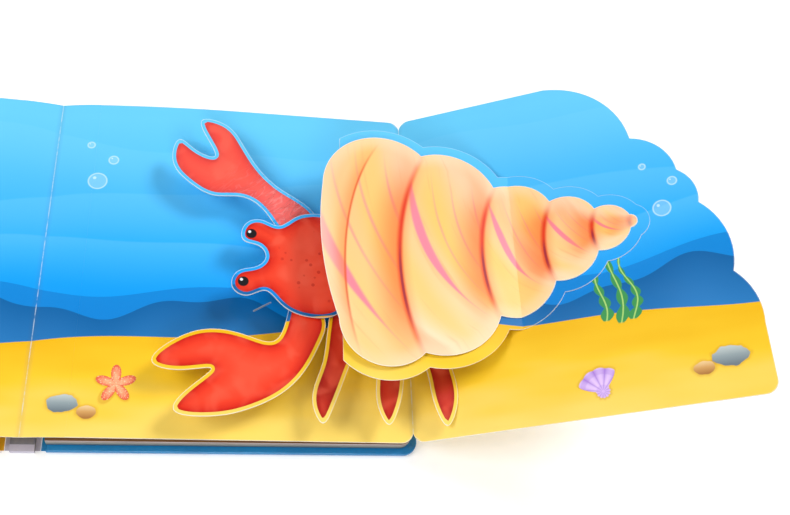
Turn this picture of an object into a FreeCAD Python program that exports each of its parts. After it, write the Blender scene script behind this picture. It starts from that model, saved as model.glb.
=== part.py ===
import FreeCAD, Part
import math
import os
import Sketcher
from FreeCAD import Placement, Rotation, Vector

# A hard-cover pop-up board book lying open. X runs from the left page to the right one, Y from the
# front edge to the back one, Z up. The origin is the middle of the spine's underside.

# Driving dimensions, in millimetres and degrees
SIZES = (
    ("page_width", 180.0, "gutter to the fore edge of a page"),
    ("page_height", 184.0, "front edge to back edge of a page"),
    ("page_corner", 6.0, "corner radius of pages and flap"),
    ("sheet_thickness", 0.5, "printed card sheet of the open spread"),
    ("gutter_level", 14.5, "top of the open spread above the table at the gutter"),
    ("fold_level", 11.2, "top of the open spread above the table at the fore edge"),
    ("stack_level", 8.9, "top of the leaves under the open spread"),
    ("leaf_count", 4, "leaves that show in each stack"),
    ("leaf_slot", 0.4, "height of the slot between two leaves"),
    ("slot_depth", 2.5, "how far the slots reach in from the edges"),
    ("glue_band_width", 9.0, "raised band that the printed sheet is glued to"),
    ("glue_band_inset", 3.0, "band to the fore edge"),
    ("glue_band_stop", 12.0, "band's ends to the front and back edges"),
    ("cover_thickness", 2.6, "board with its paper"),
    ("cover_paper", 0.25, "paper wrapped round the boards"),
    ("cover_overhang", 3.2, "cover past the pages"),
    ("cover_corner", 7.0, "corner radius of the cover"),
    ("cover_rounding", 0.9, "rounding of the cover's edges"),
    ("turn_in", 14.0, "paper folded over the inside of the boards"),
    ("lining_thickness", 0.25, "paper glued inside the cover"),
    ("hinge_offset", 8.0, "hinge line to the middle of the spine"),
    ("hinge_gap", 2.5, "hinge line to the boards on both sides"),
    ("hinge_clearance", 0.15, "cover paper to the hinge line"),
    ("closing_turn", 65.0, "most that each hinge turns while the pop-up stands"),
    ("closing_clearance", 0.3, "printed sheets to the middle plane when closed"),
    ("gutter_dip", 1.2, "how far the crease lies under the spread"),
    ("flap_angle", 29.43, "flap above the plane of the page"),
    ("flap_length", 167.7, "fold to the far edge of the flap"),
    ("card_thickness", 0.5, "card of the pop-up pieces"),
    ("shell_crease", 58.0, "fold to the crease of the shell, along the flap"),
    ("shell_length", 156.0, "mouth to tip of the shell"),
    ("shell_half_height", 78.0, "half height of the shell's cone at its mouth"),
    ("shell_overhang", 97.5, "crease to the mouth of the shell"),
    ("shell_axis_offset", -7.0, "mouth of the shell from the middle of the page"),
    ("shell_axis_angle", 4.0, "rise of the shell's axis across the page"),
    ("shell_margin", 6.0, "backing card round the shell"),
    ("backing_reach", 88.0, "crease to the left end of the backing card"),
    ("shell_lift", 1.6, "angle between the shell and its backing"),
    ("body_crease", 24.0, "fold to the crease of the crab's body, along the flap"),
    ("body_flange", 20.0, "glued part of the body card on the flap"),
    ("body_reach", 62.0, "fold to the left edge of the body card"),
    ("body_front", 30.0, "body card towards the front edge"),
    ("body_back", 18.0, "body card towards the back edge"),
    ("leg_width", 14.0, "width of a leg where it starts"),
    ("leg_tip_inset", 5.0, "tips of the legs to the front edge"),
    ("strut_flange", 8.0, "glued feet of the struts"),
    ("head_lift", 2.5, "head above the body card"),
    ("slit_length", 9.8, "slit in the right page"),
    ("slit_width", 0.4, "width of that slit"),
)

# Fixed proportions of the drawn pieces
WHORLS = 5
WHORL_RATIO = 0.76          # each turn of the shell is this share of the one before
WHORL_BULGE = 0.20          # height of a turn's arc over its chord
SUTURE_SLANT = 0.10         # how far the seams between the turns lean
CONE_TAPER = 0.955          # share of the cone's height lost over its length
TIP_BULGE = 0.5
LIP = ((0.42, 0.80), (0.06, 0.48), (0.0, 0.0), (0.10, -0.46), (0.42, -0.76))
# The mouth's points above: shares of the first turn's length and of the cone's half height

# The flap's scallops: distance from its far edge, and share of its width from the front
SCALLOPS = ((0.0, 0.18), (8.8, 0.33), (18.1, 0.541), (25.4, 0.65), (45.1, 0.777), (85.7, 1.0))
SCALLOP_BULGES = (0.11, 0.14, 0.15, 0.16, 0.17)

# Places in the page frame, in millimetres: x from the fold, y from the middle of the page
SLIT_AT, SLIT_TURN = Vector(-77.3, -26.4, 0.0), 31.0
TAB_X, TAB_Y = (-80.0, -70.0), (-35.0, 20.0)          # x from the crease of the shell
SPACER_X, SPACER_Y = (-56.0, -36.0), (-18.0, 4.0)
BODY_STRUT_TOP, BODY_STRUT_Y = -40.0, (-16.0, 14.0)
SHELL_STRUT_TOP, SHELL_STRUT_Y = 4.0, (-26.0, 12.0)
LEG_ROOTS = (-34.0, -12.0, 8.0)
LEG_TIPS = (-45.0, -14.0, 14.0)

# Outlines of the crab's claws and head, in the same places
UPPER_CLAW = (
    (-58, 6), (-68, 15), (-76, 26), (-85, 31), (-99, 31), (-112, 38), (-121, 53), (-118, 63),
    (-109, 57), (-100, 54), (-104, 65), (-107, 76), (-97, 75), (-86, 63), (-77, 48), (-66, 37),
    (-54, 29), (-47, 17))
LOWER_CLAW = (
    (-60, -24), (-63, -38), (-68, -47), (-80, -45), (-98, -42), (-113, -47), (-124, -59),
    (-111, -63), (-97, -62), (-106, -71), (-113, -82), (-98, -85), (-79, -81), (-64, -73),
    (-53, -61), (-46, -47), (-45, -32))
HEAD = (
    (-32, 17), (-46, 22), (-59, 19), (-67, 14), (-76, 17), (-84, 13), (-84, 5), (-76, 2),
    (-73, -4), (-77, -9), (-86, -12), (-89, -20), (-82, -25), (-73, -22), (-66, -28), (-52, -35),
    (-38, -33), (-30, -18), (-29, 2))

REACH = 400.0               # longer than anything that is cut

doc = FreeCAD.newDocument("pop_up_board_book")
sheet = doc.addObject("Spreadsheet::Sheet", "Sizes")
for row, (alias, value, note) in enumerate(SIZES, start=1):
    sheet.set(f"A{row}", note)
    sheet.set(f"B{row}", str(value))
    sheet.setAlias(f"B{row}", alias)
doc.recompute()


def size(name):
    """The value of one cell of the sheet."""
    return float(sheet.get(name))


def bind(thing, **formulas):
    """Binds properties to formulas in the sheet's aliases. A double underscore stands for a dot."""
    for path, formula in formulas.items():
        thing.setExpression(path.replace("__", "."), formula)


# Formulas that more than one piece uses
BOARD_NEAR = "(Sizes.hinge_offset + Sizes.hinge_gap)"
BOARD_FAR = "(Sizes.page_width + Sizes.cover_overhang)"
BOARD_HALF = "(Sizes.page_height / 2 + Sizes.cover_overhang)"
PAGE_HALF = "(Sizes.page_height / 2)"
STACK_BASE = "(Sizes.cover_thickness + Sizes.lining_thickness)"
SPINE_HALF = "(Sizes.hinge_offset - Sizes.hinge_gap)"


# Sketched slabs: plates with two rounded corners at the fore edge

def slab(label, near, far, half, corner, low, height, turn=0.0, rounding=None):
    """A plate from x = near to x = far with rounded far corners. turn = 180 puts it on the left."""
    body = doc.addObject("PartDesign::Body", label)
    plane = next(f for f in body.Origin.OriginFeatures if f.Role == "XY_Plane")
    outline = body.newObject("Sketcher::SketchObject", label + "_outline")
    outline.AttachmentSupport = [(plane, "")]
    outline.MapMode = "FlatFace"
    x0, x1, y1, r = 10.0, 180.0, 90.0, 5.0
    quarter = math.pi / 2
    up = Vector(0, 0, 1)
    outline.addGeometry(Part.LineSegment(Vector(x0, -y1, 0), Vector(x1 - r, -y1, 0)))
    outline.addGeometry(
        Part.ArcOfCircle(Part.Circle(Vector(x1 - r, r - y1, 0), up, r), -quarter, 0.0))
    outline.addGeometry(Part.LineSegment(Vector(x1, r - y1, 0), Vector(x1, y1 - r, 0)))
    outline.addGeometry(
        Part.ArcOfCircle(Part.Circle(Vector(x1 - r, y1 - r, 0), up, r), 0.0, quarter))
    outline.addGeometry(Part.LineSegment(Vector(x1 - r, y1, 0), Vector(x0, y1, 0)))
    outline.addGeometry(Part.LineSegment(Vector(x0, y1, 0), Vector(x0, -y1, 0)))
    Constraint = Sketcher.Constraint
    for a, a_end, b, b_start in ((0, 2, 1, 1), (1, 2, 2, 1), (2, 2, 3, 1), (3, 2, 4, 1)):
        outline.addConstraint(Constraint("Tangent", a, a_end, b, b_start))
    outline.addConstraint(Constraint("Coincident", 4, 2, 5, 1))
    outline.addConstraint(Constraint("Coincident", 5, 2, 0, 1))
    outline.addConstraint(Constraint("Horizontal", 0))
    outline.addConstraint(Constraint("Horizontal", 4))
    outline.addConstraint(Constraint("Vertical", 2))
    outline.addConstraint(Constraint("Equal", 1, 3))
    outline.addConstraint(Constraint("Symmetric", 5, 1, 5, 2, -1))
    for name, constraint, formula in (
            ("corner", Constraint("Radius", 1, r), corner),
            ("near", Constraint("DistanceX", -1, 1, 5, 1, x0), near),
            ("far", Constraint("DistanceX", -1, 1, 2, 1, x1), far),
            ("height", Constraint("DistanceY", 5, 2, 5, 1, 2 * y1), f"2 * {half}")):
        index = outline.addConstraint(constraint)
        outline.renameConstraint(index, name)
        outline.setExpression(f"Constraints.{name}", formula)
    pad = body.newObject("PartDesign::Pad", label + "_pad")
    pad.Profile = outline
    bind(pad, Length=height)
    bind(body, Placement__Base__z=low)
    body.Placement.Rotation = Rotation(Vector(0, 0, 1), turn)
    doc.recompute()
    if rounding:
        edges = [f"Edge{number}" for number, edge in enumerate(pad.Shape.Edges, start=1)
                 if edge.BoundBox.ZLength < 1e-6]
        fillet = body.newObject("PartDesign::Fillet", label + "_rounding")
        fillet.Base = (pad, edges)
        bind(fillet, Radius=rounding)
        doc.recompute()
    return body


def block(label, x, y, z, length, width, height):
    """A box with its corner and sizes bound to formulas."""
    box = doc.addObject("Part::Box", label)
    bind(box, Placement__Base__x=x, Placement__Base__y=y, Placement__Base__z=z)
    bind(box, Length=length, Width=width, Height=height)
    return box


def fused(label, pieces):
    fuse = doc.addObject("Part::MultiFuse", label)
    fuse.Shapes = pieces
    fuse.Refine = True
    return fuse


def cut(label, base, tool):
    result = doc.addObject("Part::Cut", label)
    result.Base = base
    result.Tool = tool
    result.Refine = True
    return result


nodes = {}


# Covers: greyboard wrapped in printed paper that is turned in over its edges and runs on to the hinge

def cover(side, turn):
    prefix = side + "_cover"
    outer = slab(prefix + "_outer", BOARD_NEAR, BOARD_FAR, BOARD_HALF, "Sizes.cover_corner",
                 "0", "Sizes.cover_thickness", turn, "Sizes.cover_rounding")
    inner = slab(prefix + "_inner", f"{BOARD_NEAR} + Sizes.cover_paper",
                 f"{BOARD_FAR} - Sizes.cover_paper", f"({BOARD_HALF} - Sizes.cover_paper)",
                 "Sizes.cover_corner - Sizes.cover_paper", "Sizes.cover_paper",
                 "Sizes.cover_thickness - 2 * Sizes.cover_paper", turn,
                 "Sizes.cover_rounding - Sizes.cover_paper")
    window = slab(prefix + "_window", f"{BOARD_NEAR} + Sizes.turn_in",
                  f"{BOARD_FAR} - Sizes.turn_in", f"({BOARD_HALF} - Sizes.turn_in)",
                  "Sizes.cover_corner", "Sizes.cover_thickness - 2 * Sizes.cover_paper",
                  "2 * Sizes.cover_paper", turn)
    board = fused(side + "_board", [inner, window])
    shell = cut(prefix + "_shell", outer, board)
    tongue_near = "(Sizes.hinge_offset + Sizes.hinge_clearance)"
    tongue_length = "(Sizes.hinge_gap - Sizes.hinge_clearance + 2 * Sizes.cover_rounding)"
    start = f"0 - {tongue_near} - {tongue_length}" if turn else tongue_near
    tongue = block(prefix + "_tongue", start, f"0 - {BOARD_HALF} + Sizes.cover_rounding", "0",
                   tongue_length, f"2 * ({BOARD_HALF} - Sizes.cover_rounding)",
                   "Sizes.cover_paper")
    nodes[side + "_board"] = board
    nodes[side + "_cover_paper"] = fused(side + "_cover_paper", [shell, tongue])
    nodes[side + "_lining"] = slab(side + "_lining", BOARD_NEAR, "Sizes.page_width", PAGE_HALF,
                                   "Sizes.page_corner", "Sizes.cover_thickness",
                                   "Sizes.lining_thickness", turn)


# Spine: a strip of board in the same paper, between the two hinge lines

def spine():
    length = f"2 * {BOARD_HALF}"
    outer = block("spine_outer", f"0 - {SPINE_HALF}", f"0 - {BOARD_HALF}", "0",
                  f"2 * {SPINE_HALF}", length, "Sizes.cover_thickness")
    inner = block("spine_inner", f"0 - {SPINE_HALF}", f"0 - {BOARD_HALF} + Sizes.cover_paper",
                  "Sizes.cover_paper", f"2 * {SPINE_HALF}",
                  f"{length} - 2 * Sizes.cover_paper",
                  "Sizes.cover_thickness - 2 * Sizes.cover_paper")
    window = block("spine_window", f"0 - {SPINE_HALF}", f"0 - {BOARD_HALF} + Sizes.turn_in",
                   "Sizes.cover_thickness - 2 * Sizes.cover_paper", f"2 * {SPINE_HALF}",
                   f"{length} - 2 * Sizes.turn_in", "2 * Sizes.cover_paper")
    board = fused("spine_board", [inner, window])
    tongue_half = "(Sizes.hinge_offset - Sizes.hinge_clearance)"
    tongue = block("spine_tongue", f"0 - {tongue_half}",
                   f"0 - {BOARD_HALF} + Sizes.cover_rounding", "0", f"2 * {tongue_half}",
                   f"{length} - 2 * Sizes.cover_rounding", "Sizes.cover_paper")
    nodes["spine_board"] = board
    nodes["spine_paper"] = fused("spine_paper", [cut("spine_shell", outer, board), tongue])
    nodes["spine_lining"] = block("spine_lining", f"0 - {SPINE_HALF}", f"0 - {PAGE_HALF}",
                                  "Sizes.cover_thickness", f"2 * {SPINE_HALF}",
                                  "Sizes.page_height", "Sizes.lining_thickness")


# Page stacks: leaves with slots between their edges, and the band that carries the open sheet

SLOPE = "((Sizes.gutter_level - Sizes.fold_level) / Sizes.page_width)"
BAND_FAR = "(Sizes.page_width - Sizes.glue_band_inset)"
BAND_TOP = f"(Sizes.fold_level - Sizes.sheet_thickness + Sizes.glue_band_inset * {SLOPE})"


def page_stack(side, label, turn):
    count = int(size("leaf_count"))
    leaf = f"((Sizes.stack_level - {STACK_BASE} - {count - 1} * Sizes.leaf_slot) / {count})"
    layers = []
    for number in range(count):
        low = f"{STACK_BASE} + {number} * ({leaf} + Sizes.leaf_slot)"
        layers.append(slab(f"{label}_leaf_{number + 1}", BOARD_NEAR, "Sizes.page_width",
                           PAGE_HALF, "Sizes.page_corner", low, leaf, turn))
        if number:
            layers.append(slab(f"{label}_core_{number}", BOARD_NEAR,
                               "Sizes.page_width - Sizes.slot_depth",
                               f"({PAGE_HALF} - Sizes.slot_depth)", "Sizes.page_corner",
                               f"{low} - Sizes.leaf_slot", "Sizes.leaf_slot", turn))
    start = f"0 - {BAND_FAR}" if turn else f"{BAND_FAR} - Sizes.glue_band_width"
    layers.append(block(label + "_band", start, f"Sizes.glue_band_stop - {PAGE_HALF}",
                        "Sizes.stack_level", "Sizes.glue_band_width",
                        f"2 * ({PAGE_HALF} - Sizes.glue_band_stop)",
                        f"{BAND_TOP} - Sizes.stack_level"))
    nodes[label] = fused(label, layers)


# Card work. Each card is drawn flat, cut out, folded at its crease and glued where it belongs.

def card_node(label, shape, place=None):
    """Keeps a card as a node. place puts the card, as it was moved so far, into its frame."""
    feature = doc.addObject("Part::Feature", label)
    feature.Shape = shape
    if place is not None:
        feature.Placement = place.multiply(shape.Placement)
    nodes[label] = feature


def wire_of(edges):
    return Part.Wire([edge.toShape() if hasattr(edge, "toShape") else edge for edge in edges])


def plate(wire, thickness):
    """The card inside an outline, with its underside at z = 0."""
    return Part.Face(wire).extrude(Vector(0, 0, thickness))


def smooth_outline(points):
    """A closed smooth curve through a few points."""
    curve = Part.BSplineCurve()
    curve.interpolate([Vector(x, y, 0) for x, y in points], PeriodicFlag=True)
    return Part.Wire([curve.toShape()])


def half_space(x, side):
    """A large box to the left (side = -1) or right (side = 1) of the line x."""
    corner = Vector(x - REACH if side < 0 else x, -REACH / 2, -REACH / 2)
    return Part.makeBox(REACH, REACH, REACH, corner)


def folded(card, crease, left_turn, right_turn):
    """The card with its left and right parts turned up about the crease, in degrees."""
    axis_point, axis = Vector(crease, 0, 0), Vector(0, 1, 0)
    left = card.common(half_space(crease, -1))
    right = card.common(half_space(crease, 1))
    left.rotate(axis_point, axis, left_turn)
    right.rotate(axis_point, axis, -right_turn)
    return left.fuse(right).removeSplitter()


def prism(points, front, back):
    """A solid with a section in X and Z, from y = front to y = back."""
    corners = [Vector(x, front, z) for x, z in points]
    face = Part.Face(Part.makePolygon(corners + corners[:1]))
    return face.extrude(Vector(0, back - front, 0))


page_slope = math.degrees(math.atan2(size("gutter_level") - size("fold_level"),
                                     size("page_width")))
flap_angle = size("flap_angle")
flap_cos = math.cos(math.radians(flap_angle))
flap_sin = math.sin(math.radians(flap_angle))
half_page = size("page_height") / 2
card = size("card_thickness")
sheet_card = size("sheet_thickness")

# The page frame: its origin is the fold of the flap, on top of the sheet, and X lies in the page
page_frame = Placement(Vector(size("page_width"), 0, size("fold_level")),
                       Rotation(Vector(0, 1, 0), page_slope))


def in_page(x, z):
    """A point of the page frame, given in the frame of the part, at y = 0."""
    return page_frame.multVec(Vector(x, 0, z))


# The printed sheets leave the gutter where they would meet when the book closes
hinge_level = size("cover_paper") / 2
closing = math.radians(size("closing_turn"))
slope_ratio = math.tan(math.radians(page_slope))
rise = size("gutter_level") - slope_ratio * size("hinge_offset") - hinge_level
free_width = size("hinge_offset") - size("closing_clearance")
seam = size("hinge_offset") + ((rise * math.sin(closing) - free_width)
                               / (math.cos(closing) + slope_ratio * math.sin(closing)))


def rounded_page(near, far, half, corner):
    """A page's outline with rounded corners at x = far."""
    a, b = Vector(near, -half, 0), Vector(far - corner, -half, 0)
    c, d = Vector(far, corner - half, 0), Vector(far, half - corner, 0)
    e, f = Vector(far - corner, half, 0), Vector(near, half, 0)
    bend = corner * (1 - math.sqrt(0.5))
    low, high = Vector(far - bend, bend - half, 0), Vector(far - bend, half - bend, 0)
    return wire_of([Part.LineSegment(a, b), Part.Arc(b, low, c), Part.LineSegment(c, d),
                    Part.Arc(d, high, e), Part.LineSegment(e, f), Part.LineSegment(f, a)])


def arc_over(start, end, bulge):
    """An arc from start to end that stands out to the right of its direction by bulge x chord."""
    chord = end - start
    outward = Vector(chord.y, -chord.x, 0)
    return Part.Arc(start, (start + end) / 2 + outward * bulge, end)


def flap_outline():
    """The flap lies to the right of the fold: square in front, scalloped towards the back."""
    far, half, corner = size("flap_length"), half_page, size("page_corner")
    bend = corner * (1 - math.sqrt(0.5))
    knots = [Vector(far - back, (share - 0.5) * 2 * half, 0) for back, share in SCALLOPS]
    edges = [
        Part.Arc(Vector(0, corner - half, 0), Vector(bend, bend - half, 0),
                 Vector(corner, -half, 0)),
        Part.LineSegment(Vector(corner, -half, 0), Vector(far - corner, -half, 0)),
        Part.Arc(Vector(far - corner, -half, 0), Vector(far - bend, bend - half, 0),
                 Vector(far, corner - half, 0)),
        Part.LineSegment(Vector(far, corner - half, 0), knots[0]),
    ]
    edges += [arc_over(a, b, bulge) for a, b, bulge in zip(knots, knots[1:], SCALLOP_BULGES)]
    edges += [
        Part.LineSegment(knots[-1], Vector(corner, half, 0)),
        Part.Arc(Vector(corner, half, 0), Vector(bend, half - bend, 0),
                 Vector(0, half - corner, 0)),
        Part.LineSegment(Vector(0, half - corner, 0), Vector(0, corner - half, 0)),
    ]
    return wire_of(edges)


def open_spread():
    """The printed sheet: left page, the bend over the gutter, and right page with its flap."""
    corner = size("page_corner")
    start = (seam - size("page_width")) / math.cos(math.radians(page_slope))
    down = Vector(0, 0, -sheet_card)
    left_place = Placement(Vector(-size("page_width"), 0, size("fold_level")),
                           Rotation(Vector(0, 1, 0), -page_slope))
    left_page = plate(rounded_page(start, 0, half_page, corner), sheet_card)
    left_page = left_page.mirror(Vector(0, 0, 0), Vector(1, 0, 0))
    left_page.translate(down)
    card_node("left_page_sheet", left_page, left_place)

    # The mitre lets the top faces of page and flap meet at the fold
    mitre = sheet_card * math.tan(math.radians(flap_angle) / 2)
    page = plate(rounded_page(start, mitre, half_page, corner), sheet_card)
    flap = plate(flap_outline(), sheet_card)
    flap.rotate(Vector(0, 0, 0), Vector(0, 1, 0), -flap_angle)
    flap.translate(Vector(mitre, 0, 0))
    slit = Part.makeBox(size("slit_length"), size("slit_width"), 3 * sheet_card, SLIT_AT + down)
    slit.rotate(SLIT_AT, Vector(0, 0, 1), SLIT_TURN)
    right_page = page.cut(slit).fuse(flap).removeSplitter()
    right_page.translate(down)
    card_node("right_page_and_flap", right_page, page_frame)

    # The bend: level with the pages at both seams, with a shallow valley and the crease between
    edge_top = in_page(start, 0).z
    edge_low = in_page(start, -sheet_card)
    crease_top = size("gutter_level") - size("gutter_dip")
    valley = [(-seam, edge_top), (0, crease_top), (seam, edge_top), (edge_low.x, edge_low.z),
              (0, crease_top - sheet_card), (-edge_low.x, edge_low.z)]
    card_node("gutter_bend", prism(valley, -half_page, half_page))


# The shell: turns that shrink towards the tip, each one an arc between two seams

def shell_wire():
    length, cone = size("shell_length"), size("shell_half_height")
    first = length * (1 - WHORL_RATIO) / (1 - WHORL_RATIO ** WHORLS)
    along = [first * (1 - WHORL_RATIO ** n) / (1 - WHORL_RATIO) for n in range(1, WHORLS + 1)]
    half = [cone * (1 - CONE_TAPER * a / length) for a in along]
    top = [Vector(a + SUTURE_SLANT * y, y, 0) for a, y in zip(along, half)]
    low = [Vector(a - SUTURE_SLANT * y, -y, 0) for a, y in zip(along, half)]
    lip = [Vector(across * first, up * cone, 0) for across, up in LIP]
    edges = [Part.Arc(top[0], lip[0], lip[1]), Part.Arc(lip[1], lip[2], lip[3]),
             Part.Arc(lip[3], lip[4], low[0])]
    edges += [arc_over(a, b, WHORL_BULGE) for a, b in zip(low, low[1:])]
    edges.append(arc_over(low[-1], top[-1], TIP_BULGE))
    edges += [arc_over(b, a, WHORL_BULGE) for a, b in reversed(list(zip(top, top[1:])))]
    wire = wire_of(edges)
    wire.rotate(Vector(0, 0, 0), Vector(0, 0, 1), size("shell_axis_angle"))
    wire.translate(Vector(-size("shell_overhang"), size("shell_axis_offset"), 0))
    return wire


def shell_cards():
    """The shell and its wider backing, both creased where they are glued to the flap."""
    crease_x = size("shell_crease") * flap_cos
    crease_z = size("shell_crease") * flap_sin
    outline = shell_wire()
    backing = plate(outline.makeOffset2D(size("shell_margin")), card)
    backing = backing.common(half_space(-size("backing_reach"), 1))
    backing = folded(backing, 0, 0, flap_angle)
    backing.translate(Vector(crease_x, 0, crease_z))
    card_node("shell_backing", backing, page_frame)

    inner_x = crease_x - card * math.tan(math.radians(flap_angle) / 2)
    shell = folded(plate(outline, card), 0, size("shell_lift"), flap_angle)
    shell.translate(Vector(inner_x, 0, crease_z + card))
    card_node("shell_front", shell, page_frame)

    # Folded tab that holds the shell off its backing
    lift = math.tan(math.radians(size("shell_lift")))
    floor = crease_z + card
    low_side = [(inner_x + x, floor) for x in TAB_X]
    high_side = [(inner_x + x, floor - x * lift) for x in reversed(TAB_X)]
    card_node("shell_tab", prism(low_side + high_side, *TAB_Y), page_frame)


def crab_cards():
    """Body with legs, two claws and the head, on a second layer under the shell."""
    crease_x = size("body_crease") * flap_cos
    level = size("body_crease") * flap_sin
    front, back = size("body_front"), size("body_back")
    body = Part.makeBox(size("body_reach") + crease_x + size("body_flange"), front + back, card,
                        Vector(-size("body_reach"), -front, 0))
    width, tip_y = size("leg_width"), size("leg_tip_inset") - half_page
    for root, tip in zip(LEG_ROOTS, LEG_TIPS):
        knee_y = (tip_y - front) / 2
        leg = smooth_outline([
            (root - width / 2, 2 - front), (root - width * 0.62, -front - 12),
            ((root + tip) / 2 - width * 0.42, knee_y), (tip - width * 0.26, tip_y + 5),
            (tip, tip_y), (tip + width * 0.30, tip_y + 6),
            ((root + tip) / 2 + width * 0.52, knee_y), (root + width * 0.55, -front - 12),
            (root + width / 2, 2 - front), (root, 6 - front)])
        body = body.fuse(plate(leg, card))
    body = folded(body.removeSplitter(), crease_x, 0, flap_angle)
    body.translate(Vector(0, 0, level))
    card_node("crab_body", body, page_frame)

    on_body = Placement(Vector(0, 0, level + card), Rotation())
    on_body = page_frame.multiply(on_body)
    card_node("upper_claw", plate(smooth_outline(UPPER_CLAW), card), on_body)
    card_node("lower_claw", plate(smooth_outline(LOWER_CLAW), card), on_body)
    head_level = level + card + size("head_lift")
    card_node("crab_head", plate(smooth_outline(HEAD), card),
              page_frame.multiply(Placement(Vector(0, 0, head_level), Rotation())))
    spacer = Part.makeBox(SPACER_X[1] - SPACER_X[0], SPACER_Y[1] - SPACER_Y[0], size("head_lift"),
                          Vector(SPACER_X[0], SPACER_Y[0], level + card))
    card_node("head_spacer", spacer, page_frame)
    return level


def strut(label, top_x, low, high, ends):
    """A strip that leans like the flap, from a glued foot at z = low to a flange under z = high."""
    slant = card / flap_sin
    step = slant * flap_cos
    reach = slant + size("strut_flange")
    foot_x = top_x - (high - low) * flap_cos / flap_sin
    lean = [(foot_x, low), (foot_x + slant, low), (top_x + slant, high), (top_x, high)]
    foot = [(foot_x, low), (foot_x + reach, low), (foot_x + reach, low + card),
            (foot_x + step, low + card)]
    head = [(top_x - step, high - card), (top_x + reach, high - card), (top_x + reach, high),
            (top_x, high)]
    shape = prism(lean, *ends)
    for outline in (foot, head):
        shape = shape.fuse(prism(outline, *ends))
    card_node(label, shape.removeSplitter(), page_frame)


def struts(body_level):
    strut("body_strut", BODY_STRUT_TOP, 0.0, body_level, BODY_STRUT_Y)
    strut("shell_strut", SHELL_STRUT_TOP, body_level + card, size("shell_crease") * flap_sin,
          SHELL_STRUT_Y)


cover("back", 0.0)
cover("front", 180.0)
spine()
page_stack("back", "right_pages", 0.0)
page_stack("front", "left_pages", 180.0)
open_spread()
shell_cards()
struts(crab_cards())

doc.recompute()
for item in doc.Objects:
    if any(state in ("Invalid", "Error") for state in item.State):
        raise RuntimeError(f"{item.Label} did not build: {item.State}")
os.makedirs("parts", exist_ok=True)
for name, piece in nodes.items():
    shape = piece.Shape
    if shape.isNull() or not shape.isValid() or not shape.Solids:
        raise RuntimeError(f"{name} has no valid solid")
    piece.Label = name
    shape.exportStep(f"parts/{name}.step")
    print(f"{name}: {len(shape.Solids)} solid, {shape.Volume / 1000:.2f} cm3")
print(f"{len(nodes)} nodes, seam of the printed sheets at x = {seam:.2f} mm")
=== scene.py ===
# %% [markdown]
# # A pop-up board book
# The real object is a small square book with hard covers. It lies open, a flap folds out from the
# right page, and a crab with a spiral shell stands on two raised layers of card. This script
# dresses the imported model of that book: it prints the cards, wraps the covers and lights the table.

# %% Load the fixed frame
import math

import bmesh
import bpy
from mathutils import Matrix, Vector
from mathutils.bvhtree import BVHTree


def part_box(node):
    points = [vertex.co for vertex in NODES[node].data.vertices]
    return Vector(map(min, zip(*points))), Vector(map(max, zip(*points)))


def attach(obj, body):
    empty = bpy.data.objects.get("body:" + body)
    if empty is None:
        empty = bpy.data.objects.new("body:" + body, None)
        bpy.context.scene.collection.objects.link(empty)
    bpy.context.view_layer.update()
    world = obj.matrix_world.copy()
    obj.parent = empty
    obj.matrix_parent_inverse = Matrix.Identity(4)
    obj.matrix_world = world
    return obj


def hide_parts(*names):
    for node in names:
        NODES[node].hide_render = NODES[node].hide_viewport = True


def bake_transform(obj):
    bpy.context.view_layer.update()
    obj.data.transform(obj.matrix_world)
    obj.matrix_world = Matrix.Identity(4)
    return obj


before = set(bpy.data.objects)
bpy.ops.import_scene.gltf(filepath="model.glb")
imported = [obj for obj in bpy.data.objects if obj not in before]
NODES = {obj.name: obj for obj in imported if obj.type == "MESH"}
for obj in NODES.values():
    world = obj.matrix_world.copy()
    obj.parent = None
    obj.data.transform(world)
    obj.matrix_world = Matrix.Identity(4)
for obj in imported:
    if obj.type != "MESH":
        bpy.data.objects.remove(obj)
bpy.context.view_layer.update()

# %% [markdown]
# The printed picture runs over page and flap, and each card lies in a plane of its own. The sizes
# that tie those planes together are the same as in the model: the page falls a little from the
# gutter to the fold, and the flap rises from the fold. All lengths are in metres, and the prints
# use millimetres, because a printer would.

# %% Sizes of the spread
MM = 0.001
FOLD = Vector((180, 0, 11.2)) * MM          # the fold between page and flap, on top of the sheet
PAGE_HALF = 92 * MM
GUTTER_LEVEL = 14.5 * MM
SHEET = 0.5 * MM
FALL = math.atan2(GUTTER_LEVEL - FOLD.z, FOLD.x)
FLAP_RISE = math.radians(29.43)
BODY_CREASE, SHELL_CREASE = 24.0, 58.0      # millimetres from the fold, along the flap
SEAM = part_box("right_page_and_flap")[0].x
print("fall of the page:", round(math.degrees(FALL), 2), "degrees, seam at", round(SEAM / MM, 1))


def in_page(point):
    """A point seen from the page: x from the fold, y across, z above the sheet, in millimetres."""
    away = point - FOLD
    across = away.x * math.cos(FALL) - away.z * math.sin(FALL)
    above = away.x * math.sin(FALL) + away.z * math.cos(FALL)
    return Vector((across, away.y, above)) / MM


# %% [markdown]
# The camera stands where the photographer stood: low in front, turned to the left and rolled, so
# the long front edge of the page runs level through the picture. A camera's own axes are right,
# up and back, and they fill the columns of its matrix.

# %% Camera
CAMERA_PLACE = Vector((85.74, -239.43, 483.83)) * MM
CAMERA_AZIMUTH, CAMERA_HEIGHT, CAMERA_ROLL = (math.radians(a) for a in (-19.85, 60.95, 19.9))
LENS = 47.39

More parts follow.
